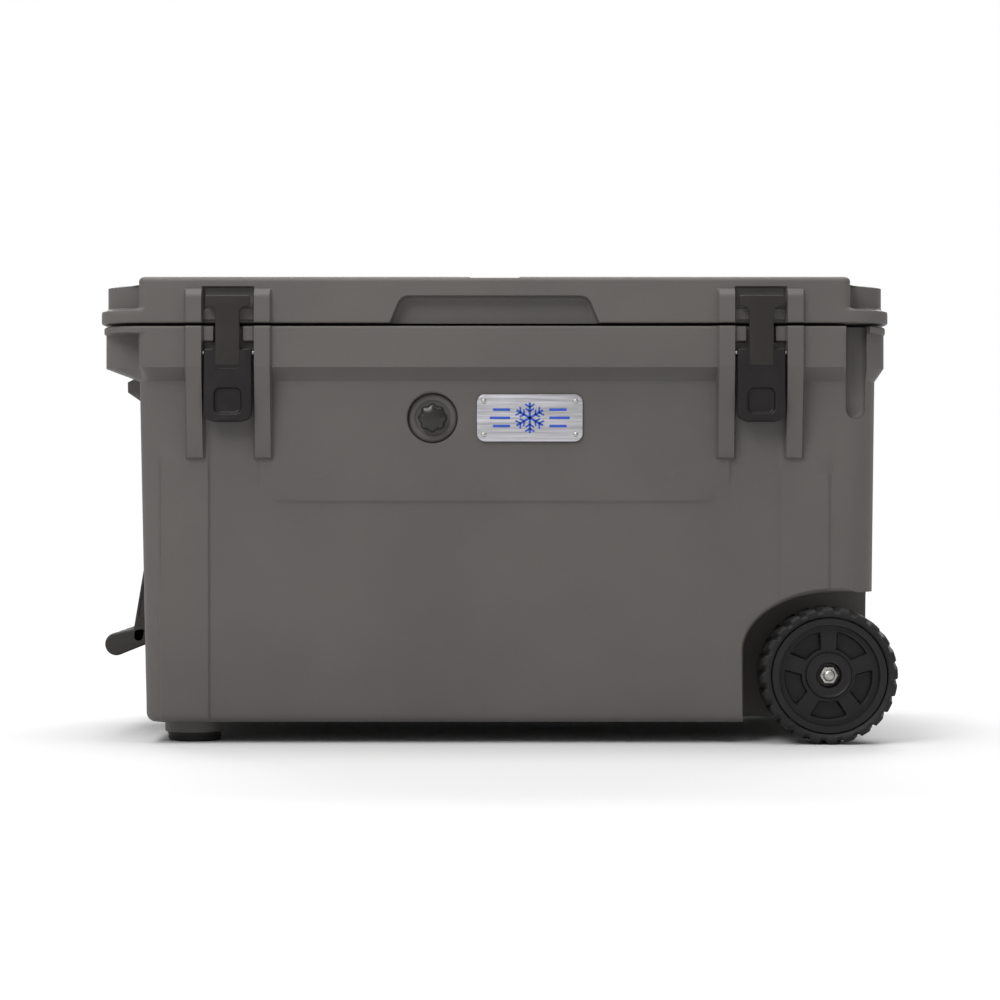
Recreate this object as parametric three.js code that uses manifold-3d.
// Wheeled hard cooler: a rotomoulded double-skinned body and lid, two over-centre latches, a fold-out tow
// handle on the left end and two spoked wheels on a through axle at the right end.
// Millimetres, +Z up, front faces -Y, wheels at +X. The origin is on the floor, under the middle of the object.
import * as THREE from 'three';
import { mergeVertices } from 'three/addons/utils/BufferGeometryUtils.js';
import Module from 'manifold-3d';

const wasm = await Module();
wasm.setup();

// ---------------------------------------------------------------- driving dimensions
const LID_LENGTH = 773;
const LID_DEPTH = 430;
const RIM_Z = 407;             // top of the body
const SKIN = 4;                // wall of each moulded skin
const WALL = 45;               // double wall with foam, front, back and right
const CLEAR = 0.3;             // gap between pieces that touch
const RUN = 0.3;               // radial gap of a shaft in its bore

// Body
const BASE_Z = 20.5;
const LEFT_SET = 37.5;         // left wall, in from the lid's end
const RIGHT_SET = 11.5;
const FRONT_SET = 13;          // front and rear wall, in from the lid's face
const DRAFT_LEFT = 7;
const DRAFT_RIGHT = 4;
const DRAFT_FRONT = 5;
const EDGE = 6;                // bevel round the base
const CORNER_LEFT = 18;
const CORNER_RIGHT = 32;
const FLANGE = 7;              // height of the full outline below the rim
const BAND_SET = 40;           // height of the band below the rim
const BAND_BEVEL = 13;
const CORNER_NOTCH_X = 40.5;   // corner notch, in from the lid's end
const CORNER_NOTCH_Y = 25;
const BAND_SIDE_SET = 3.5;
const APRON_HALF = 230;
const APRON_DROP = 171;        // rim to the lower edge of the raised apron
const APRON_R = 29;
const APRON_PROUD = 1.5;
const CREASE_IN = 20;          // crease line, outward of the latch centre
const CREASE_DROP = 130;
const CREASE_PROUD = 2;
const LEDGE_PROUD = 17;        // lifting ledge under the left end of the band
const LEDGE_HALF = 150;
const LEDGE_DROP = 51;         // rim to the top of the ledge
const LEDGE_H = 11;
const TIE_W = 20;              // tie-down groove at the right front corner
const TIE_SET = 32;            // its outer edge, in from the right wall's corner
const TIE_DROP = 90;

// Lid
const LID_GAP = 3;
const LID_RIM_H = 16;
const LID_SIDE_H = 39;
const LID_H = 45;
const LID_TOP_SET = 4.5;
const LID_CORNER = 40;
const LID_PLUG_H = 13;
const PLUG_GAP = 3;
const SCOOP_HALF = 101;
const SCOOP_TOP_HALF = 85.5;
const SCOOP_H = 26;
const SCOOP_DEEP = 13;
const DIP_HALF = 24;
const DIP_DEEP = 1.2;
const GASKET_W = 8;
const GASKET_SET = 6;          // gasket, outward of the cavity's edge
const GROOVE_DEEP = 2;

// Cavity
const FLOOR_Z = 65;
const LEFT_WALL = 61;          // left wall, thicker because it holds the handle pocket
const CAVITY_R = 30;
const CAVITY_DRAFT = 4;

// Latches
const LATCH_SET = 87.5;        // latch centre, in from the front block's end
const LATCH_HALF = 24.5;       // half of the space between a pair of ribs
const RIB_W = 17.2;
const RIB_PROUD = 5;
const RIB_DROP = 130;
const RIB_FOOT_PROUD = 4;
const RIB_TOP = 32.7;          // height of the lid's ribs over its lower face
const RECESS_DEEP = 7.5;
const EAR_HALF = 14;
const EAR_H = 15;
const LEVER_GAP = 1.25;        // lever to the rib on each side
const LEVER_CHEEK = 9.75;      // lever on each side of its notch
const LEVER_T = 8;
const LEVER_PIN_DROP = 26;     // rim to the lever's pin
const LEVER_PIN_R = 2;
const LEVER_BACK = 6;          // recess floor to the lever's pin
const LEVER_LENGTH = 67.5;     // pin to the lever's lower tip
const LEVER_HEAD = 4;
const LEVER_R = 8;
const LINK_PIN_R = 1.75;
const LINK_PIN_DOWN = 9;
const LINK_PIN_OUT = 4.5;
const LINK_STEM_GAP = 1.85;    // link's stem to the notch on each side
const LINK_BAR_GAP = 3;        // link's bar to the rib on each side
const LINK_BAR_H = 11;
const LINK_T = 4;
const LINK_BAR_T = 7;
const LINK_LENGTH = 64.5;      // link pin to the top of the bar
const NOTCH_DOWN = 5.3;         // link pin to the notch's floor
const POCKET_W = 27;
const POCKET_H = 25;

// Hinges
const HINGE_SET = 116;         // hinge centre, in from the front block's end
const HINGE_R = 6;
const HINGE_OUT = 1;           // axis, outward of the lid's rear face
const HINGE_KNUCKLE = 44;
const HINGE_ROD_R = 2.5;

// Vent, badge and drain
const VENT_X = -60.5;
const VENT_DROP = 89;
const VENT_R = 24.5;
const VENT_DEEP = 8;
const VENT_STEM_R = 6.5;
const KNOB_R = 14;
const KNOB_LOBES = 8;
const BADGE_X = 34.3;
const BADGE_W = 103;
const BADGE_H = 46;
const BADGE_T = 1.5;
const BADGE_R = 8;
const RIVET_SET = 6.7;
const RIVET_R = 2;
const DRAIN_OVER_FLOOR = 1.5;   // lower edge of the drain's tube, over the cavity floor
const DRAIN_R = 13.5;
const DRAIN_BORE = 9.5;
const DRAIN_FLANGE_R = 19;
const DRAIN_KNOB_R = 16;

// Wheels and feet
const WHEEL_R = 67;
const WHEEL_W = 50;
const WHEEL_PROUD_X = 6.5;     // tyre, outward of the lid's end
const WHEEL_PROUD_Y = 10;      // tyre, outward of the front wall
const RIM_R = 56.6;
const WELL_R = 48.8;
const HUB_R = 22.3;
const SPOKES = 5;
const LUGS = 24;
const LUG_DEEP = 3;
const AXLE_R = 6;
const BUSH_T = 3;
const NUT_R = 9.2;
const ARCH_SIDE = 16;
const ARCH_TOP = 14;
const ARCH_DEEP = 78;
const ARCH_ROUND_X = 90;
const ARCH_ROUND_Z = 58;
const FOOT_SET_X = 51;         // foot centre, in from the left wall
const FOOT_Y = 150;
const FOOT_R = 26.5;
const FOOT_H = 9;
const BOSS_R = 29.5;

// Tow handle
const TOW_PIVOT_DROP = 95;
const TOW_PIVOT_IN = 25.3;     // pivot, inward of the left wall's top
const TOW_Y = 108;
const TOW_ARM_W = 13;
const TOW_ARM_T = 12;
const TOW_GAP = 0.52;           // knee to the left wall
const TOW_REACH_Z = 219.3;
const TOW_KNEE_X = 26;         // grip to knee
const TOW_KNEE_Z = 8;
const TOW_KNEE_ARM = 3.4;      // arm's centre line, outward of the knee
const TOW_BOSS_R = 10;
const TOW_ROD_R = 4;
const GRIP_R = 11.5;
const TUBE_R = 8;
const HAND_POCKET_H = 190;
const POCKET_SIDE = 5;

// ---------------------------------------------------------------- derived places
const HALF_L = LID_LENGTH / 2;
const HALF_D = LID_DEPTH / 2;
const LEFT_X = -HALF_L + LEFT_SET;
const RIGHT_X = HALF_L - RIGHT_SET;
const WALL_Y = HALF_D - FRONT_SET;
const FLANGE_Z = RIM_Z - FLANGE;
const BAND_Z = RIM_Z - BAND_SET;
const BLOCK_HALF = HALF_L - CORNER_NOTCH_X;
const LATCH_X = BLOCK_HALF - LATCH_SET;
const LEVER_W = 2 * (LATCH_HALF - LEVER_GAP);
const NOTCH_HALF = LEVER_W / 2 - LEVER_CHEEK;
const LINK_STEM_W = 2 * (NOTCH_HALF - LINK_STEM_GAP);
const LINK_BAR_W = 2 * (LATCH_HALF - LINK_BAR_GAP);
const LID_Z = RIM_Z + LID_GAP;
const RECESS_Y = -HALF_D + RECESS_DEEP;
const RIB_Y = -HALF_D - RIB_PROUD;
const CAVITY_LEFT = LEFT_X + LEFT_WALL;
const CAVITY_RIGHT = RIGHT_X - WALL;
const CAVITY_Y = WALL_Y - WALL;
const WHEEL_X = HALF_L + WHEEL_PROUD_X - WHEEL_R;
const WHEEL_Y = WALL_Y + WHEEL_PROUD_Y - WHEEL_W / 2;
const ARCH_X = WHEEL_X - WHEEL_R - ARCH_SIDE;
const ARCH_Z = 2 * WHEEL_R + ARCH_TOP;
const ARCH_Y = WALL_Y - ARCH_DEEP;
const HINGE_Y = HALF_D + HINGE_OUT;
const HINGE_Z = RIM_Z + LID_GAP / 2;
const HINGE_X = BLOCK_HALF - HINGE_SET;
const DRAIN_Z = FLOOR_Z + DRAIN_R + DRAIN_OVER_FLOOR;
const TOW_X = LEFT_X + TOW_PIVOT_IN;
const TOW_Z = RIM_Z - TOW_PIVOT_DROP;

// ---------------------------------------------------------------- materials
function finish(color, roughness, metalness = 0) {
  return new THREE.MeshStandardMaterial({ color, roughness, metalness });
}
const SHELL = finish(0x605c58, 0.55);
const FOAM = finish(0xe6dfc6, 0.9);
const BLACK = finish(0x1b1b1c, 0.5);
const RUBBER = finish(0x151515, 0.85);
const STEEL = finish(0xb4b6b8, 0.3, 1);
const PLATE = finish(0xc2c4c8, 0.35, 1);

// ---------------------------------------------------------------- solids
const X = new THREE.Vector3(1, 0, 0);
const Y = new THREE.Vector3(0, 1, 0);
const Z = new THREE.Vector3(0, 0, 1);

// Closed geometry to solid: only positions are kept, and triangles that fold to a line are left out.
function solid(geometry) {
  const bare = new THREE.BufferGeometry();
  bare.setAttribute('position', geometry.getAttribute('position'));
  if (geometry.index) bare.setIndex(geometry.index);
  const merged = mergeVertices(bare, 1e-4);
  const index = merged.index.array;
  const kept = [];
  for (let i = 0; i < index.length; i += 3) {
    const [a, b, c] = [index[i], index[i + 1], index[i + 2]];
    if (a !== b && b !== c && c !== a) kept.push(a, b, c);
  }
  const vertProperties = new Float32Array(merged.getAttribute('position').array);
  return new wasm.Manifold(new wasm.Mesh({ numProp: 3, vertProperties, triVerts: new Uint32Array(kept) }));
}

function unite(pieces) {
  return pieces.reduce((whole, piece) => whole.add(piece));
}

function cut(whole, pieces) {
  return pieces.reduce((rest, piece) => rest.subtract(piece), whole);
}

function box(x0, x1, y0, y1, z0, z1) {
  const geometry = new THREE.BoxGeometry(x1 - x0, y1 - y0, z1 - z0);
  geometry.translate((x0 + x1) / 2, (y0 + y1) / 2, (z0 + z1) / 2);
  return solid(geometry);
}

// Rounded rectangle, radii in the order low-low, high-low, high-high, low-high.
function roundRect(x0, x1, y0, y1, radii, shape = new THREE.Shape()) {
  const [a, b, c, d] = Array.isArray(radii) ? radii : [radii, radii, radii, radii];
  shape.moveTo(x0 + a, y0);
  shape.absarc(x1 - b, y0 + b, b, -Math.PI / 2, 0);
  shape.absarc(x1 - c, y1 - c, c, 0, Math.PI / 2);
  shape.absarc(x0 + d, y1 - d, d, Math.PI / 2, Math.PI);
  shape.absarc(x0 + a, y0 + a, a, Math.PI, 1.5 * Math.PI);
  return shape;
}

function extrude(shape, depth, curveSegments) {
  return new THREE.ExtrudeGeometry(shape, { depth, bevelEnabled: false, curveSegments });
}

// A profile drawn in Y and Z, carried along X.
function alongX(shape, x0, x1, segments = 2) {
  const geometry = extrude(shape, x1 - x0, segments);
  geometry.applyMatrix4(new THREE.Matrix4().makeBasis(Y, Z, X));
  geometry.translate(x0, 0, 0);
  return solid(geometry);
}

// A profile drawn in X and Z, carried along Y.
function alongY(shape, y0, y1, segments = 2) {
  const geometry = extrude(shape, y1 - y0, segments);
  geometry.applyMatrix4(new THREE.Matrix4().makeBasis(X, Z, Y.clone().negate()));
  geometry.translate(0, y1, 0);
  return solid(geometry);
}

function polygon(points) {
  return new THREE.Shape(points.map(([a, b]) => new THREE.Vector2(a, b)));
}

// Rounded rectangles stacked at rising heights and skinned together; each level is
// { z, x0, x1, y0, y1, r }.
function loft(levels, segments = 2) {
  const rings = levels.map((level) => {
    const points = roundRect(level.x0, level.x1, level.y0, level.y1, level.r).getPoints(segments);
    points.pop();
    return points;
  });
  const count = rings[0].length;
  const positions = [];
  rings.forEach((ring, k) => ring.forEach((p) => positions.push(p.x, p.y, levels[k].z)));
  const index = [];
  for (let k = 0; k + 1 < rings.length; k += 1) {
    for (let i = 0; i < count; i += 1) {
      const a = k * count + i;
      const b = k * count + ((i + 1) % count);
      index.push(a, b, b + count, a, b + count, a + count);
    }
  }
  const top = (rings.length - 1) * count;
  for (let i = 1; i + 1 < count; i += 1) {
    index.push(0, i + 1, i);
    index.push(top, top + i, top + i + 1);
  }
  const skin = new THREE.BufferGeometry();
  skin.setAttribute('position', new THREE.Float32BufferAttribute(positions, 3));
  skin.setIndex(index);
  return solid(skin);
}

function cylinder(radius, length, segments) {
  return new THREE.CylinderGeometry(radius, radius, length, segments);
}

function rodX(radius, x0, x1, y, z, segments = 12) {
  const geometry = cylinder(radius, x1 - x0, segments);
  geometry.rotateZ(-Math.PI / 2);
  geometry.translate((x0 + x1) / 2, y, z);
  return solid(geometry);
}

function rodY(radius, y0, y1, x, z, segments = 12) {
  const geometry = cylinder(radius, y1 - y0, segments);
  geometry.translate(x, (y0 + y1) / 2, z);
  return solid(geometry);
}

function rodZ(radius, z0, z1, x, y, segments = 12) {
  const geometry = cylinder(radius, z1 - z0, segments);
  geometry.rotateX(Math.PI / 2);
  geometry.translate(x, y, (z0 + z1) / 2);
  return solid(geometry);
}

// A profile of [radius, height] pairs turned about the Y axis, taken anticlockwise so that its faces point out.
function turned(points, segments = 32) {
  const profile = points.map(([r, y]) => new THREE.Vector2(r, y));
  if (THREE.ShapeUtils.isClockWise(profile)) profile.reverse();
  if (points[0][0] !== 0) profile.push(profile[0]);
  return solid(new THREE.LatheGeometry(profile, segments));
}

// A turned piece whose axis is moved to point along X, at the given place.
function turnedX(points, x, y, z, segments = 16) {
  return turned(points, segments).rotate([0, 0, -90]).translate([x, y, z]);
}

function mesh(name, piece, material) {
  const { vertProperties, triVerts, numProp } = piece.getMesh();
  const positions = [];
  for (let i = 0; i < vertProperties.length; i += numProp) {
    positions.push(vertProperties[i], vertProperties[i + 1], vertProperties[i + 2]);
  }
  const geometry = new THREE.BufferGeometry();
  geometry.setAttribute('position', new THREE.Float32BufferAttribute(positions, 3));
  geometry.setIndex(Array.from(triVerts));
  geometry.computeVertexNormals();
  const made = new THREE.Mesh(geometry, material);
  made.name = name;
  return made;
}

const cooler = new THREE.Group();

// ---------------------------------------------------------------- body
// Wall outline at height z, drawn in by t.
function wallLevel(z, t, more = 0) {
  const fall = (FLANGE_Z - z) / (FLANGE_Z - BASE_Z);
  return {
    z,
    x0: LEFT_X + DRAFT_LEFT * fall + t + more,
    x1: RIGHT_X - DRAFT_RIGHT * fall - t - more,
    y0: -WALL_Y + DRAFT_FRONT * fall + t + more,
    y1: WALL_Y - DRAFT_FRONT * fall - t - more,
    r: [CORNER_LEFT, CORNER_RIGHT, CORNER_RIGHT, CORNER_LEFT].map((r) => Math.max(r - t, 2)),
  };
}

function evenLevel(z, halfX, halfY, r) {
  return { z, x0: -halfX, x1: halfX, y0: -halfY, y1: halfY, r };
}

// The moulded block without its small features, drawn in by t all round.
function bodyBlock(t) {
  const walls = loft([
    wallLevel(BASE_Z + t, t, EDGE),
    wallLevel(BASE_Z + EDGE + t / 2, t),
    wallLevel(FLANGE_Z - t, t),
  ]);
  const front = loft([
    evenLevel(BAND_Z - BAND_BEVEL + t, BLOCK_HALF - BAND_BEVEL - t, HALF_D - BAND_BEVEL - t, 6),
    evenLevel(BAND_Z + t / 2, BLOCK_HALF - t, HALF_D - t, 8),
    evenLevel(RIM_Z - t, BLOCK_HALF - t, HALF_D - t, 8),
  ], 1);
  const sideHalf = HALF_L - BAND_SIDE_SET - t;
  const sides = loft([
    evenLevel(BAND_Z - BAND_BEVEL + t, sideHalf - BAND_BEVEL, HALF_D - CORNER_NOTCH_Y - t - 4, 20),
    evenLevel(BAND_Z + t / 2, sideHalf, HALF_D - CORNER_NOTCH_Y - t, 22),
    evenLevel(FLANGE_Z + FLANGE / 2, sideHalf, HALF_D - CORNER_NOTCH_Y - t, 22),
  ]);
  const flange = loft([
    evenLevel(FLANGE_Z + t, HALF_L - 3 - t, HALF_D - 1.5 - t, LID_CORNER - t),
    evenLevel(RIM_Z - t, HALF_L - 2.5 - t, HALF_D - 1 - t, LID_CORNER - t),
  ], 3);
  return t > FLANGE / 2 ? unite([walls, front, sides]) : unite([walls, front, sides, flange]);
}

// Arches for the two wheels, grown by t: straight up, an elliptical corner, and flat to the right.
function archCuts(t) {
  const shape = new THREE.Shape();
  const reach = HALF_L + 60;
  shape.moveTo(ARCH_X - t, -10);
  shape.lineTo(reach, -10);
  shape.lineTo(reach, ARCH_Z + t);
  shape.lineTo(ARCH_X + ARCH_ROUND_X, ARCH_Z + t);
  shape.absellipse(ARCH_X + ARCH_ROUND_X, ARCH_Z - ARCH_ROUND_Z, ARCH_ROUND_X + t, ARCH_ROUND_Z + t,
    Math.PI / 2, Math.PI, false);
  shape.lineTo(ARCH_X - t, -10);
  const front = alongY(shape, -HALF_D - 60, -ARCH_Y + t);
  return [front, front.mirror([0, 1, 0])];
}

// Centre line of the tow arm: from the grip to the knee, then up to the pivot.
const leftWall = (z) => LEFT_X + DRAFT_LEFT * (FLANGE_Z - z) / (FLANGE_Z - BASE_Z);
const GRIP_Z = TOW_Z - TOW_REACH_Z;
const KNEE_Z = GRIP_Z + TOW_KNEE_Z;
const KNEE_X = leftWall(KNEE_Z) - GRIP_R - TOW_GAP;
const GRIP_X = KNEE_X - TOW_KNEE_X;
const ARM_FOOT_X = KNEE_X - TOW_KNEE_ARM;
const ARM_SLOPE = (TOW_X - ARM_FOOT_X) / (TOW_Z - KNEE_Z);

// Hollow in the left wall that the arms lie in, its back parallel to them.
function handlePocket(t) {
  const top = TOW_Z + TOW_BOSS_R + POCKET_SIDE;
  const bottom = top - HAND_POCKET_H;
  const back = TOW_BOSS_R + 3 + t;
  const at = (z) => TOW_X + (z - TOW_Z) * ARM_SLOPE + back;
  const shape = polygon([
    [LEFT_X - 60, bottom - t],
    [at(bottom), bottom - t],
    [at(TOW_Z - TOW_BOSS_R), TOW_Z - TOW_BOSS_R],
    [TOW_X + back, TOW_Z],
    [TOW_X + back, top + t],
    [LEFT_X - 60, top + t],
  ]);
  const half = TOW_Y + TOW_ARM_W / 2 + POCKET_SIDE + t;
  return alongY(shape, -half, half);
}

function latchRecess(side, t) {
  const x = side * LATCH_X;
  const y = RECESS_Y + t;
  return unite([
    box(x - LATCH_HALF - t, x + LATCH_HALF + t, -HALF_D - 20, y, BAND_Z - BAND_BEVEL - 6, RIM_Z - EAR_H - 0.5),
    box(x - EAR_HALF - t, x + EAR_HALF + t, -HALF_D - 20, y, BAND_Z, RIM_Z + 1),
  ]);
}

// One upright rib beside a latch, on the body: upright to the band, then sloping in to its foot.
function bodyRib(x0, x1) {
  const foot = RIM_Z - RIB_DROP;
  const y = -WALL_Y;
  return alongX(polygon([
    [RIB_Y, RIM_Z], [RIB_Y, BAND_Z], [y - RIB_FOOT_PROUD, foot + 3], [y - RIB_FOOT_PROUD + 2, foot],
    [y + 10, foot], [y + 10, RIM_Z],
  ].reverse()), x0, x1);
}

function ribPair(make, side) {
  const x = side * LATCH_X;
  return [
    make(x - LATCH_HALF - RIB_W, x - LATCH_HALF),
    make(x + LATCH_HALF, x + LATCH_HALF + RIB_W),
  ];
}

// A plate proud of the front wall, following its draft.
function frontPlate(x0, x1, z0, z1, radii, proud) {
  const shape = roundRect(x0, x1, z0, z1, radii);
  const geometry = extrude(shape, 10 + proud, 2);
  geometry.applyMatrix4(new THREE.Matrix4().makeBasis(X, Z, Y.clone().negate()));
  const lean = DRAFT_FRONT / (FLANGE_Z - BASE_Z);
  geometry.applyMatrix4(new THREE.Matrix4().makeShear(0, 0, 0, 0, 0, -lean));
  geometry.translate(0, -WALL_Y + 10 + lean * FLANGE_Z, 0);
  return solid(geometry);
}

function cavity(t, top = RIM_Z + 5) {
  const level = (z, x1, draft) => ({
    z,
    x0: CAVITY_LEFT - t + draft,
    x1: x1 + t - draft,
    y0: -CAVITY_Y - t + draft,
    y1: CAVITY_Y + t - draft,
    r: CAVITY_R + t,
  });
  const stepX = ARCH_X - WALL;
  const stepZ = ARCH_Z + WALL;
  return unite([
    loft([level(FLOOR_Z - t, stepX, CAVITY_DRAFT + 8), level(FLOOR_Z - t + 8, stepX, CAVITY_DRAFT),
      level(RIM_Z - 40, stepX, 1)]),
    loft([level(stepZ - t, CAVITY_RIGHT, 10), level(stepZ - t + 8, CAVITY_RIGHT, 2), level(top, CAVITY_RIGHT, 0)]),
  ]);
}

function ventCut(t) {
  return rodY(VENT_R + t, -HALF_D - 20, -WALL_Y + VENT_DEEP + t, VENT_X, RIM_Z - VENT_DROP, 20);
}

function tieGroove(t) {
  const x1 = RIGHT_X - TIE_SET + TIE_W + t;
  const x0 = x1 - TIE_W - 2 * t;
  const shape = roundRect(x0, x1, RIM_Z - TIE_DROP - t, FLANGE_Z + 20, TIE_W / 2);
  return alongY(shape, -HALF_D - 20, -HALF_D + CORNER_NOTCH_Y + t);
}

const VENT_END = -WALL_Y + WALL - SKIN - 1;
const FEET = [-FOOT_Y, FOOT_Y];
const FOOT_X = LEFT_X + FOOT_SET_X;
const FILL_X = 0;
const FILL_R = 12;

function fillCut(radius) {
  return rodZ(radius, BASE_Z - 5, BASE_Z + SKIN + 3, FILL_X, 0, 12);
}

function screwCuts(radius, top) {
  return FEET.map((y) => rodZ(radius, BASE_Z - FOOT_H - 20, top, FOOT_X, y, 8));
}

function hingeKnuckle(x0, x1, up) {
  const z1 = HINGE_Z + (up ? 1 : -1) * (HINGE_R + 5);
  return unite([
    rodX(HINGE_R, x0, x1, HINGE_Y, HINGE_Z, 10),
    box(x0, x1, HINGE_Y - HINGE_R + 2, HINGE_Y + HINGE_R, Math.min(z1, HINGE_Z), Math.max(z1, HINGE_Z)),
  ]);
}

// Each hinge has three knuckles side by side: body, lid, body.
function knuckleSpans(side, onLid) {
  const first = side * HINGE_X - 1.5 * HINGE_KNUCKLE;
  return [0, 1, 2].filter((k) => (k === 1) === onLid)
    .map((k) => [first + k * HINGE_KNUCKLE, first + (k + 1) * HINGE_KNUCKLE]);
}

function forSides(make) {
  return [-1, 1].flatMap(make);
}

function hingeCuts(onLid, t = 0) {
  return forSides((side) => knuckleSpans(side, onLid)
    .map(([x0, x1]) => rodX(HINGE_R + 1.5 + t, x0 - 0.5 - t, x1 + 0.5 + t, HINGE_Y, HINGE_Z, 10)));
}

function hingeKnuckles(onLid) {
  return forSides((side) => knuckleSpans(side, onLid)
    .map(([x0, x1]) => hingeKnuckle(x0 + 0.4, x1 - 0.4, onLid)));
}

function hingeBores() {
  return forSides((side) => rodX(HINGE_ROD_R + RUN, side * HINGE_X - 80, side * HINGE_X + 80, HINGE_Y, HINGE_Z));
}

function leverPinCuts(radius) {
  return forSides((side) => rodX(radius, side * LATCH_X - LATCH_HALF - 8, side * LATCH_X + LATCH_HALF + 8,
    RECESS_Y - LEVER_BACK, RIM_Z - LEVER_PIN_DROP, 8));
}

const TOW_ROD_HALF = TOW_Y + TOW_ARM_W / 2 + POCKET_SIDE + 14;

function towRodCut(radius) {
  return rodY(radius, -TOW_ROD_HALF - 0.5, TOW_ROD_HALF + 0.5, TOW_X, TOW_Z);
}

function badgeCuts(radius) {
  const z = RIM_Z - VENT_DROP;
  return [-1, 1].flatMap((a) => [-1, 1].map((b) => rodY(radius, -WALL_Y - 10, -WALL_Y + 8,
    BADGE_X + a * (BADGE_W / 2 - RIVET_SET), z + b * (BADGE_H / 2 - RIVET_SET), 8)));
}

// Space for the foam between the skins, drawn in by t from every face.
function foamSpace(t) {
  return cut(bodyBlock(t), [
    ...archCuts(t),
    handlePocket(t),
    latchRecess(-1, t),
    latchRecess(1, t),
    cavity(t),
    ventCut(t),
    tieGroove(t),
    rodX(DRAIN_R + t, LEFT_X - 10, CAVITY_LEFT + 20, 0, DRAIN_Z, 16),
    ...hingeCuts(true, t),
    ...hingeCuts(false, t),
    ...leverPinCuts(LEVER_PIN_R + t),
    ...badgeCuts(RIVET_R + t),
    ...screwCuts(5 + t, BASE_Z + 22 + t),
    towRodCut(TOW_ROD_R + t),
    rodY(AXLE_R + t, -WALL_Y, WALL_Y, WHEEL_X, WHEEL_R, 16),
  ]);
}

const creaseX = LATCH_X + CREASE_IN;
const creaseTop = RIM_Z - CREASE_DROP + 8;
const bodySolid = unite([
  bodyBlock(0),
  ...ribPair(bodyRib, -1),
  ...ribPair(bodyRib, 1),
  frontPlate(-APRON_HALF, APRON_HALF, RIM_Z - APRON_DROP, BAND_Z - 2, [APRON_R, APRON_R, 1, 1], APRON_PROUD),
  frontPlate(LEFT_X + CORNER_LEFT + 3, -creaseX, BASE_Z + EDGE + 1, creaseTop, 1, CREASE_PROUD),
  frontPlate(creaseX, RIGHT_X - CORNER_RIGHT - 3, ARCH_Z - 20, creaseTop, 1, CREASE_PROUD),
  alongY(polygon([
    [LEFT_X + 10, RIM_Z - LEDGE_DROP - LEDGE_H - 12],
    [LEFT_X + 10, BAND_Z],
    [LEFT_X - LEDGE_PROUD, BAND_Z],
    [LEFT_X - LEDGE_PROUD, RIM_Z - LEDGE_DROP - LEDGE_H],
    [LEFT_X, RIM_Z - LEDGE_DROP - LEDGE_H - 12],
  ].reverse()), -LEDGE_HALF, LEDGE_HALF),
  ...FEET.map((y) => rodZ(BOSS_R, FOOT_H, BASE_Z + 1, FOOT_X, y, 20)),
]);
const bodyShell = cut(unite([
  cut(bodySolid, [
    cavity(SKIN + CLEAR),
    ...archCuts(0),
    handlePocket(0),
    latchRecess(-1, 0),
    latchRecess(1, 0),
    ventCut(0),
    tieGroove(0),
    ...hingeCuts(true),
    foamSpace(SKIN),
  ]),
  ...hingeKnuckles(false),
]), [
  ...hingeBores(),
  ...leverPinCuts(LEVER_PIN_R + CLEAR),
  ...badgeCuts(RIVET_R + CLEAR),
  ...screwCuts(3 + CLEAR, BASE_Z + 22),
  towRodCut(TOW_ROD_R + CLEAR),
  rodY(AXLE_R + CLEAR, -WALL_Y, WALL_Y, WHEEL_X, WHEEL_R, 16),
  rodY(VENT_STEM_R + CLEAR, -WALL_Y, VENT_END, VENT_X, RIM_Z - VENT_DROP),
  rodX(DRAIN_R + CLEAR, LEFT_X - 10, CAVITY_LEFT + 20, 0, DRAIN_Z, 16),
  fillCut(FILL_R),
  ...FEET.map((y) => rodZ(FOOT_R + 0.5, 0, FOOT_H + 3, FOOT_X, y, 20)),
]);
const bodyFoam = cut(foamSpace(SKIN + CLEAR), [
  fillCut(FILL_R + 2),
  rodY(VENT_STEM_R + 1, -WALL_Y, VENT_END, VENT_X, RIM_Z - VENT_DROP),
]);
cooler.add(mesh('body_shell', bodyShell, SHELL));
// The inner tub, with its step over the wheels; the drain leaves through its left wall.
cooler.add(mesh('body_liner', cut(cavity(SKIN, RIM_Z), [
  cavity(0),
  rodX(DRAIN_R + CLEAR, LEFT_X - 10, CAVITY_LEFT + 20, 0, DRAIN_Z, 16),
]), SHELL));
cooler.add(mesh('body_foam', bodyFoam, FOAM));
cooler.add(mesh('body_foam_plug', unite([
  rodZ(FILL_R - CLEAR, BASE_Z, BASE_Z + SKIN, FILL_X, 0, 12),
  rodZ(FILL_R + 3, BASE_Z - 2, BASE_Z - CLEAR, FILL_X, 0, 12),
  rodZ(FILL_R - 4, BASE_Z - 1, BASE_Z + 1, FILL_X, 0, 12),
]), BLACK));

// ---------------------------------------------------------------- lid
const plugX0 = CAVITY_LEFT + PLUG_GAP;
const plugX1 = CAVITY_RIGHT - PLUG_GAP;
const plugY = CAVITY_Y - PLUG_GAP;

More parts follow.
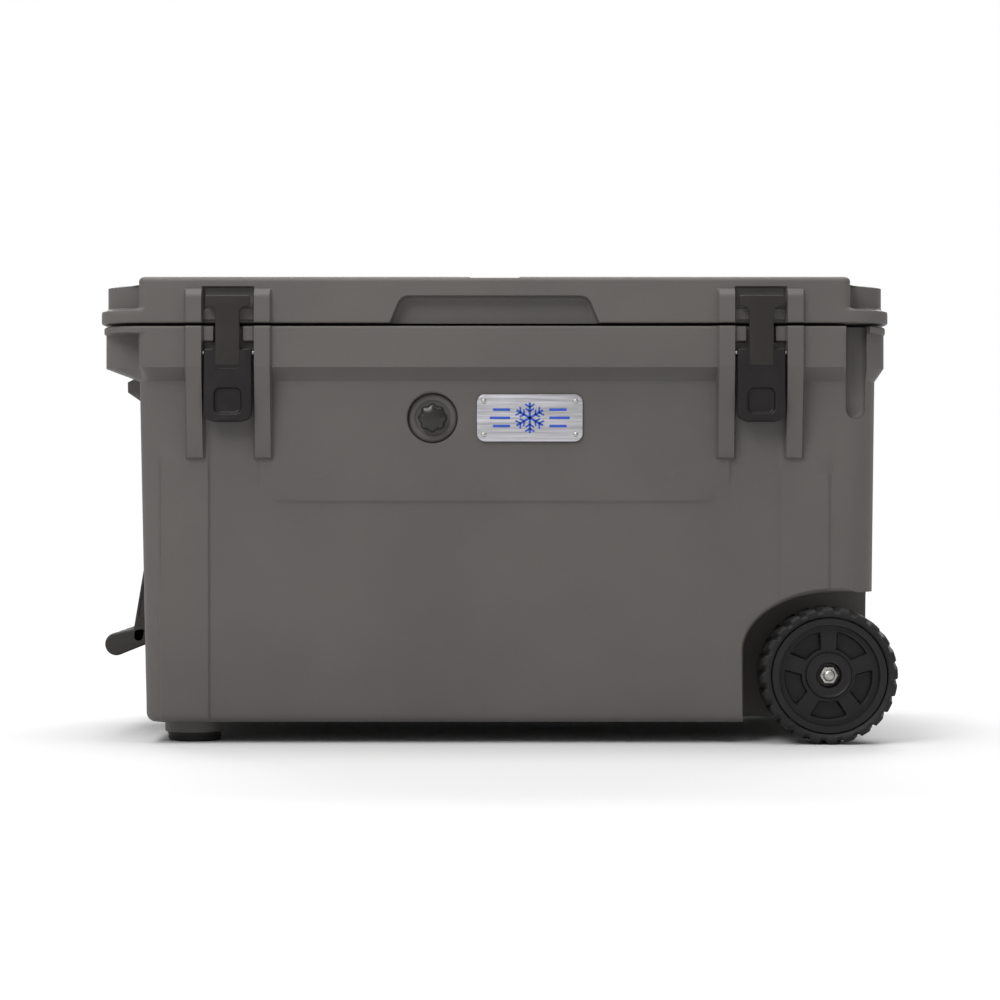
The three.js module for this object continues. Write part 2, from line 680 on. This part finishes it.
function lidBlock(t) {
  const side = HALF_L - LID_TOP_SET;
  const notchY = HALF_D - CORNER_NOTCH_Y;
  const z1 = LID_Z + LID_RIM_H;
  const high = LID_Z + LID_H;
  return unite([
    loft([
      evenLevel(LID_Z + t, HALF_L - 1 - t, HALF_D - 0.5 - t, LID_CORNER - t),
      evenLevel(LID_Z + LID_RIM_H - 3, HALF_L - t, HALF_D - t, LID_CORNER - t),
      evenLevel(z1 - t / 2, HALF_L - 3 - t, HALF_D - 2 - t, LID_CORNER - t),
    ], 3),
    loft([
      evenLevel(z1 - 6, side + 2 - t, notchY + 4 - t, 30 - t),
      evenLevel(LID_Z + LID_SIDE_H - 5, side - t, notchY - t, 30 - t),
      evenLevel(LID_Z + LID_SIDE_H - t, side - 5 - t, notchY - 4 - t, 26 - t),
    ]),
    loft([
      evenLevel(LID_Z + t, BLOCK_HALF - t, HALF_D - t, 8 - t),
      evenLevel(high - 3 - t, BLOCK_HALF - t, HALF_D - t, 8 - t),
      evenLevel(high - t, BLOCK_HALF - 3 - t, HALF_D - 3 - t, 8 - t),
    ], 1),
    loft([
      { z: LID_Z - LID_PLUG_H + t, x0: plugX0 + 3 + t, x1: plugX1 - 3 - t, y0: -plugY + 3 + t,
        y1: plugY - 3 - t, r: CAVITY_R - t },
      { z: LID_Z + t, x0: plugX0 + t, x1: plugX1 - t, y0: -plugY + t, y1: plugY - t, r: CAVITY_R - t },
      { z: LID_Z + t + 1, x0: plugX0 + t, x1: plugX1 - t, y0: -plugY + t, y1: plugY - t, r: CAVITY_R - t },
    ]),
  ]);
}

function scoopCut(t) {
  const z1 = LID_Z + SCOOP_H + t;
  return alongY(polygon([
    [-SCOOP_HALF - t, LID_Z - 5],
    [SCOOP_HALF + t, LID_Z - 5],
    [SCOOP_HALF + t, LID_Z + 8],
    [SCOOP_TOP_HALF + t + 5, z1 - 3],
    [SCOOP_TOP_HALF + t, z1],
    [-SCOOP_TOP_HALF - t, z1],
    [-SCOOP_TOP_HALF - t - 5, z1 - 3],
    [-SCOOP_HALF - t, LID_Z + 8],
  ]), -HALF_D - 20, -HALF_D + SCOOP_DEEP + t);
}

function lidRecess(side, t) {
  const x = side * LATCH_X;
  return box(x - LATCH_HALF - t, x + LATCH_HALF + t, -HALF_D - 20, RECESS_Y + t, LID_Z - 5, LID_Z + RIB_TOP + 2 + t);
}

function lidRib(x0, x1) {
  const z1 = LID_Z + RIB_TOP;
  return alongX(polygon([
    [RIB_Y, LID_Z], [-HALF_D + 10, LID_Z], [-HALF_D + 10, z1], [-HALF_D - 2, z1], [RIB_Y, z1 - 5],
  ]), x0, x1);
}

// The gasket's path: a ring round the cavity's mouth, grown by t on both sides.
function gasketRing(z0, z1, t) {
  const ring = (grow) => loft([z0, z1].map((z) => ({
    z,
    x0: CAVITY_LEFT - grow,
    x1: CAVITY_RIGHT + grow,
    y0: -CAVITY_Y - grow,
    y1: CAVITY_Y + grow,
    r: CAVITY_R + grow,
  })));
  return ring(GASKET_SET + GASKET_W + t).subtract(ring(GASKET_SET - t));
}

function lidSpace(t) {
  return cut(lidBlock(t), [
    scoopCut(t),
    lidRecess(-1, t),
    lidRecess(1, t),
    gasketRing(LID_Z - 1, LID_Z + GROOVE_DEEP + t, t),
    ...hingeCuts(false, t),
    ...hingeCuts(true, t),
  ]);
}

const lidFill = (radius) => rodZ(radius, LID_Z - LID_PLUG_H - 3, LID_Z - LID_PLUG_H + SKIN + 3, 0, 0, 12);
const keepers = forSides((side) => box(side * LATCH_X - LATCH_HALF - 1, side * LATCH_X + LATCH_HALF + 1,
  RECESS_Y - 3, RECESS_Y + 1, LID_Z + 3, LID_Z + 14));
const lidShell = cut(unite([
  cut(unite([lidBlock(0), ...ribPair(lidRib, -1), ...ribPair(lidRib, 1)]), [
    scoopCut(0),
    lidRecess(-1, 0),
    lidRecess(1, 0),
    gasketRing(LID_Z - 1, LID_Z + GROOVE_DEEP, CLEAR),
    ...hingeCuts(false),
    lidSpace(SKIN),
    box(-DIP_HALF, DIP_HALF, -HALF_D - 5, -HALF_D + 60, LID_Z + LID_H - DIP_DEEP, LID_Z + LID_H + 5),
  ]),
  ...keepers,
  ...hingeKnuckles(true),
]), [...hingeBores(), lidFill(FILL_R)]);
cooler.add(mesh('lid_shell', lidShell, SHELL));
cooler.add(mesh('lid_foam', cut(lidSpace(SKIN + CLEAR), [lidFill(FILL_R + 2)]), FOAM));
const lidUnder = LID_Z - LID_PLUG_H;
cooler.add(mesh('lid_foam_plug', unite([
  rodZ(FILL_R - CLEAR, lidUnder, lidUnder + SKIN, 0, 0, 12),
  rodZ(FILL_R + 3, lidUnder - 2, lidUnder - CLEAR, 0, 0, 12),
  rodZ(FILL_R - 4, lidUnder - 1, lidUnder + 1, 0, 0, 12),
]), BLACK));
cooler.add(mesh('lid_gasket', gasketRing(RIM_Z + CLEAR, LID_Z + GROOVE_DEEP - CLEAR, 0), RUBBER));
forSides((side) => cooler.add(mesh(side < 0 ? 'hinge_rod_left' : 'hinge_rod_right',
  rodX(HINGE_ROD_R, side * HINGE_X - 1.5 * HINGE_KNUCKLE, side * HINGE_X + 1.5 * HINGE_KNUCKLE, HINGE_Y, HINGE_Z),
  STEEL)));

// ---------------------------------------------------------------- latches
const PIN_Y = RECESS_Y - LEVER_BACK;
const PIN_Z = RIM_Z - LEVER_PIN_DROP;
const LINK_Y = PIN_Y - LINK_PIN_OUT;
const LINK_Z = PIN_Z - LINK_PIN_DOWN;
const LEVER_FRONT = PIN_Y - LEVER_T;

// Local to the latch: x from its centre.
function latchLever() {
  const half = LEVER_W / 2;
  const tip = PIN_Z - LEVER_LENGTH;
  const head = PIN_Z + LEVER_HEAD;
  const front = new THREE.Shape();
  front.moveTo(-half + LEVER_R, tip + 2);
  front.quadraticCurveTo(0, tip - 2, half - LEVER_R, tip + 2);
  front.quadraticCurveTo(half, tip + 4, half, tip + LEVER_R + 3);
  front.lineTo(half, head);
  front.lineTo(NOTCH_HALF, head);
  front.lineTo(NOTCH_HALF, LINK_Z - NOTCH_DOWN);
  front.lineTo(-NOTCH_HALF, LINK_Z - NOTCH_DOWN);
  front.lineTo(-NOTCH_HALF, head);
  front.lineTo(-half, head);
  front.lineTo(-half, tip + LEVER_R + 3);
  front.quadraticCurveTo(-half, tip + 4, -half + LEVER_R, tip + 2);
  const plate = alongY(front, LEVER_FRONT, PIN_Y - 0.5);
  const cheeks = [-1, 1].map((s) => {
    const a = s * NOTCH_HALF;
    const b = s * half;
    return rodX(LEVER_HEAD, Math.min(a, b), Math.max(a, b), PIN_Y, PIN_Z, 12);
  });
  const pocketTop = tip + 8 + POCKET_H;
  const pocket = alongY(roundRect(-POCKET_W / 2, POCKET_W / 2, tip + 8, pocketTop, 5), LEVER_FRONT - 1,
    LEVER_FRONT + 4);
  return cut(unite([plate, ...cheeks]), [
    pocket,
    rodX(LEVER_PIN_R + RUN, -half - 1, half + 1, PIN_Y, PIN_Z, 12),
    rodX(LINK_PIN_R + CLEAR, -NOTCH_HALF - 5.5, NOTCH_HALF + 5.5, LINK_Y, LINK_Z, 12),
  ]);
}

function latchLink() {
  const bar = LINK_BAR_W / 2;
  const stem = LINK_STEM_W / 2;
  const top = LINK_Z + LINK_LENGTH;
  const under = top - LINK_BAR_H;
  const shape = new THREE.Shape();
  shape.moveTo(-stem, LINK_Z);
  shape.lineTo(stem, LINK_Z);
  shape.lineTo(stem, under - 8);
  shape.quadraticCurveTo(stem, under, stem + 6, under);
  shape.lineTo(bar - 1, under);
  shape.lineTo(bar, under + 1);
  shape.lineTo(bar, top - 1.5);
  shape.lineTo(bar - 1.5, top);
  shape.lineTo(-bar + 1.5, top);
  shape.lineTo(-bar, top - 1.5);
  shape.lineTo(-bar, under + 1);
  shape.lineTo(-bar + 1, under);
  shape.lineTo(-stem - 6, under);
  shape.quadraticCurveTo(-stem, under, -stem, under - 8);
  const front = LINK_Y - LINK_T;
  return cut(unite([
    alongY(shape, front, front + LINK_T),
    box(-bar + 0.5, bar - 0.5, front + 1, front + LINK_BAR_T, under + 1, top - 0.5),
    rodX(LINK_T - 0.1, -stem, stem, LINK_Y, LINK_Z, 12),
  ]), [rodX(LINK_PIN_R + RUN, -stem - 1, stem + 1, LINK_Y, LINK_Z, 12)]);
}

forSides((side) => {
  const word = side < 0 ? 'left' : 'right';
  const latch = new THREE.Group();
  latch.position.x = side * LATCH_X;
  latch.add(mesh(`latch_lever_${word}`, latchLever(), BLACK));
  latch.add(mesh(`latch_link_${word}`, latchLink(), BLACK));
  const pinHalf = LATCH_HALF + 7.5;
  latch.add(mesh(`lever_pin_${word}`, rodX(LEVER_PIN_R, -pinHalf, pinHalf, PIN_Y, PIN_Z, 12), STEEL));
  latch.add(mesh(`link_pin_${word}`, rodX(LINK_PIN_R, -NOTCH_HALF - 5, NOTCH_HALF + 5, LINK_Y, LINK_Z, 12), STEEL));
  return cooler.add(latch);
});

// ---------------------------------------------------------------- badge
const BADGE_Z = RIM_Z - VENT_DROP;
const WALL_LEAN = DRAFT_FRONT / (FLANGE_Z - BASE_Z);
const BADGE_Y = -WALL_Y + (FLANGE_Z - BADGE_Z - BADGE_H / 2) * WALL_LEAN - APRON_PROUD - 0.7;
cooler.add(mesh('badge_plate', cut(
  alongY(roundRect(BADGE_X - BADGE_W / 2, BADGE_X + BADGE_W / 2, BADGE_Z - BADGE_H / 2, BADGE_Z + BADGE_H / 2,
    BADGE_R), BADGE_Y - BADGE_T, BADGE_Y),
  badgeCuts(RIVET_R + CLEAR),
), PLATE));
[-1, 1].flatMap((a) => [-1, 1].map((b) => [a, b])).forEach(([a, b], k) => {
  const rivet = new THREE.Group();
  rivet.position.set(BADGE_X + a * (BADGE_W / 2 - RIVET_SET), BADGE_Y - BADGE_T - CLEAR,
    BADGE_Z + b * (BADGE_H / 2 - RIVET_SET));
  rivet.add(mesh(`badge_rivet_${k + 1}`, turned([
    [0, -1.6], [1.5, -1.3], [RIVET_R + 1, -0.2], [RIVET_R + 1, 0], [RIVET_R, 0], [RIVET_R, 7], [0, 7],
  ], 8), STEEL));
  cooler.add(rivet);
});

// ---------------------------------------------------------------- vent
const vent = new THREE.Group();
vent.position.set(VENT_X, -WALL_Y + VENT_DEEP, RIM_Z - VENT_DROP);
const seatR = VENT_R - 0.5;
const stemEnd = WALL - VENT_DEEP - SKIN - 3;
vent.add(mesh('vent_insert', turned([
  [seatR, -CLEAR], [seatR, -2.5], [seatR - 2, -3], [KNOB_R + 3, -3], [KNOB_R + 2, -2], [4, -2], [4, stemEnd],
  [VENT_STEM_R, stemEnd], [VENT_STEM_R, -CLEAR],
], 20), BLACK));
vent.add(mesh('vent_seal', turned([[4.6, -2 - CLEAR], [7.5, -2 - CLEAR], [7.5, -4], [4.6, -4]], 16),
  RUBBER));

function lobedKnob() {
  const shape = new THREE.Shape();
  const count = KNOB_LOBES * 4;
  for (let k = 0; k < count; k += 1) {
    const angle = (k / count) * 2 * Math.PI;
    const r = KNOB_R - 0.9 + 0.9 * Math.cos(KNOB_LOBES * angle);
    const at = [r * Math.cos(angle), r * Math.sin(angle)];
    if (k === 0) shape.moveTo(...at);
    else shape.lineTo(...at);
  }
  shape.closePath();
  return unite([
    alongY(shape, -13, -4.4),
    turned([[0, -15.5], [6, -15], [10.5, -13.5], [12, -12], [0, -12]], 16),
    turned([[0, -5], [3.7, -5], [3.7, 20], [0, 20]], 12),
  ]);
}
vent.add(mesh('vent_knob', lobedKnob(), BLACK));
cooler.add(vent);

// ---------------------------------------------------------------- drain
const drainWall = leftWall(DRAIN_Z);
const drainTube = CAVITY_LEFT + CAVITY_DRAFT - drainWall;
cooler.add(mesh('drain_insert', turnedX([
  [DRAIN_BORE, -4], [DRAIN_FLANGE_R, -4], [DRAIN_FLANGE_R, -0.5], [DRAIN_R, -0.5], [DRAIN_R, drainTube],
  [DRAIN_BORE, drainTube],
], drainWall, 0, DRAIN_Z), BLACK));
cooler.add(mesh('drain_seal', turnedX([
  [DRAIN_BORE, -4 - CLEAR], [DRAIN_BORE, -6], [DRAIN_BORE + 4, -6], [DRAIN_BORE + 4, -4 - CLEAR],
], drainWall, 0, DRAIN_Z), RUBBER));
cooler.add(mesh('drain_plug', unite([
  turnedX([[0, -15], [DRAIN_KNOB_R - 2, -15], [DRAIN_KNOB_R, -13], [DRAIN_KNOB_R, -6 - CLEAR], [0, -6 - CLEAR]],
    drainWall, 0, DRAIN_Z, 16),
  turnedX([[0, -7], [DRAIN_BORE - 0.5, -7], [DRAIN_BORE - 0.5, 18], [0, 18]], drainWall, 0, DRAIN_Z, 16),
]), BLACK));

// ---------------------------------------------------------------- wheels, local axis Y, outboard face at -Y
const HALF_W = WHEEL_W / 2;
const hubFace = -16;
const nutFace = -6;

// A ring with a toothed outline: the tread blocks run across its whole width.
function tyre() {
  const valley = WHEEL_R - LUG_DEEP;
  const tread = new THREE.Shape();
  for (let k = 0; k < LUGS; k += 1) {
    const pitch = 2 * Math.PI / LUGS;
    [[-0.22, valley], [0.22, valley], [0.27, WHEEL_R], [0.73, WHEEL_R]].forEach(([part, r], i) => {
      const angle = (k + part) * pitch;
      const point = [r * Math.sin(angle), r * Math.cos(angle)];
      if (k + i === 0) tread.moveTo(...point);
      else tread.lineTo(...point);
    });
  }
  tread.closePath();
  return alongY(tread, -HALF_W, HALF_W).subtract(rodY(RIM_R + CLEAR, -HALF_W - 1, HALF_W + 1, 0, 0, LUGS));
}

function rim() {
  const bore = AXLE_R + RUN + BUSH_T + CLEAR;
  const barrel = turned([
    [WELL_R, -HALF_W + 3], [RIM_R - 2, -HALF_W + 2], [RIM_R, -HALF_W + 4], [RIM_R, HALF_W - 4],
    [WELL_R, HALF_W - 4],
  ], 24);
  const web = turned([[bore, -4], [WELL_R + 1, -4], [WELL_R + 1, 2], [bore, 2]], 24);
  const hub = turned([
    [12, hubFace], [HUB_R - 1.5, hubFace], [HUB_R, hubFace + 1.5], [HUB_R, -3], [HUB_R - 6, HALF_W - 1],
    [bore, HALF_W - 1], [bore, nutFace], [12, nutFace],
  ], 16);
  const spokes = [];
  for (let k = 0; k < SPOKES; k += 1) {
    const spoke = solid(new THREE.BoxGeometry(WELL_R - HUB_R + 6, 9, 17));
    spokes.push(spoke.translate([(WELL_R + HUB_R) / 2, -8, 0]).rotate([0, -90 - k * 360 / SPOKES, 0]));
  }
  const outer = turned([[WELL_R - 7, -12], [WELL_R + 1, -12], [WELL_R + 1, -3], [WELL_R - 7, -3]], 24);
  return unite([barrel, web, hub, outer, ...spokes]);
}

// Flats above and below the axle.
function hexNut(length) {
  return solid(new THREE.CylinderGeometry(NUT_R, NUT_R, length, 6, 1, false, Math.PI / 6));
}

const AXLE_END = WHEEL_Y - nutFace + 13;
[-1, 1].forEach((side) => {
  const word = side < 0 ? 'front' : 'rear';
  const wheel = new THREE.Group();
  wheel.position.set(WHEEL_X, side * WHEEL_Y, WHEEL_R);
  if (side > 0) wheel.rotation.z = Math.PI;
  wheel.add(mesh(`tyre_${word}`, tyre(), RUBBER));
  wheel.add(mesh(`rim_${word}`, rim(), BLACK));
  const bushR = AXLE_R + RUN;
  wheel.add(mesh(`wheel_bush_${word}`, turned([
    [bushR, nutFace + CLEAR], [bushR + BUSH_T, nutFace + CLEAR], [bushR + BUSH_T, HALF_W - 1], [bushR, HALF_W - 1],
  ], 16), BLACK));
  wheel.add(mesh(`washer_${word}`, turned([
    [bushR, nutFace - 2], [11.5, nutFace - 2], [11.5, nutFace - CLEAR], [bushR, nutFace - CLEAR],
  ], 16), STEEL));
  const nut = hexNut(7).translate([0, nutFace - 2 - CLEAR - 3.5, 0]);
  wheel.add(mesh(`axle_nut_${word}`, nut.subtract(rodY(bushR, -40, 0, 0, 0, 12)), STEEL));
  const inner = WHEEL_Y - ARCH_Y;
  wheel.add(mesh(`wheel_spacer_${word}`, turned([
    [bushR, HALF_W - 1 + CLEAR], [HUB_R - 8, HALF_W - 1 + CLEAR], [HUB_R - 8, inner - CLEAR], [bushR, inner - CLEAR],
  ], 16), BLACK));
  cooler.add(wheel);
});
cooler.add(mesh('axle', unite([
  rodY(AXLE_R, -AXLE_END + 2, AXLE_END - 2, WHEEL_X, WHEEL_R, 16),
  rodY(AXLE_R - 1.5, -AXLE_END, AXLE_END, WHEEL_X, WHEEL_R, 16),
]), STEEL));

// ---------------------------------------------------------------- feet
FEET.forEach((y, k) => {
  const word = k === 0 ? 'front' : 'rear';
  const top = FOOT_H + 3 - CLEAR;
  const foot = unite([
    rodZ(FOOT_R, 1.5, top, FOOT_X, y, 20),
    rodZ(FOOT_R - 2, 0, 3, FOOT_X, y, 20),
  ]);
  cooler.add(mesh(`rubber_foot_${word}`, cut(foot, [
    rodZ(3 + CLEAR, -1, top + 1, FOOT_X, y, 8),
    rodZ(7, -1, 5.5, FOOT_X, y, 12),
  ]), RUBBER));
  cooler.add(mesh(`foot_screw_${word}`, unite([
    rodZ(6, 2, 5, FOOT_X, y, 20),
    rodZ(3, 4, BASE_Z + 18, FOOT_X, y, 8),
  ]), STEEL));
});

// ---------------------------------------------------------------- tow handle
function bar(x0, z0, x1, z1, radius, y0, y1) {
  const length = Math.hypot(x1 - x0, z1 - z0);
  const shape = new THREE.Shape();
  shape.absarc(0, 0, radius, Math.PI / 2, 1.5 * Math.PI);
  shape.absarc(length, 0, radius, -Math.PI / 2, Math.PI / 2);
  const geometry = extrude(shape, y1 - y0, 4);
  geometry.applyMatrix4(new THREE.Matrix4().makeBasis(X, Z, Y.clone().negate()));
  geometry.rotateY(-Math.atan2(z1 - z0, x1 - x0));
  geometry.translate(x0, y1, z0);
  return solid(geometry);
}

const GRIP_HALF = TOW_Y - TOW_ARM_W / 2 - CLEAR;
[-1, 1].forEach((side) => {
  const word = side < 0 ? 'front' : 'rear';
  const y0 = side * TOW_Y - TOW_ARM_W / 2;
  const y1 = side * TOW_Y + TOW_ARM_W / 2;
  cooler.add(mesh(`tow_arm_${word}`, cut(unite([
    bar(GRIP_X, GRIP_Z, KNEE_X, KNEE_Z, GRIP_R, y0, y1),
    bar(ARM_FOOT_X, KNEE_Z, TOW_X, TOW_Z, TOW_ARM_T / 2, y0, y1),
    rodY(TOW_BOSS_R, y0, y1, TOW_X, TOW_Z, 16),
  ]), [
    rodY(TOW_ROD_R + RUN, y0 - 1, y1 + 1, TOW_X, TOW_Z),
    rodY(TUBE_R + CLEAR, side < 0 ? y0 + 3 : y0 - 1, side < 0 ? y1 + 1 : y1 - 3, GRIP_X, GRIP_Z, 16),
  ]), BLACK));
});
cooler.add(mesh('tow_grip', turned([
  [TUBE_R + CLEAR, -GRIP_HALF], [GRIP_R - 1, -GRIP_HALF], [GRIP_R, -GRIP_HALF + 1], [GRIP_R, GRIP_HALF - 1],
  [GRIP_R - 1, GRIP_HALF], [TUBE_R + CLEAR, GRIP_HALF],
], 16).translate([GRIP_X, 0, GRIP_Z]), RUBBER));
const tubeHalf = TOW_Y + TOW_ARM_W / 2 - 3 - CLEAR;
cooler.add(mesh('tow_grip_tube', rodY(TUBE_R, -tubeHalf, tubeHalf, GRIP_X, GRIP_Z, 16)
  .subtract(rodY(TUBE_R - 2, -tubeHalf - 1, tubeHalf + 1, GRIP_X, GRIP_Z, 16)), STEEL));
cooler.add(mesh('tow_rod', rodY(TOW_ROD_R, -TOW_ROD_HALF, TOW_ROD_HALF, TOW_X, TOW_Z), STEEL));

export default cooler;
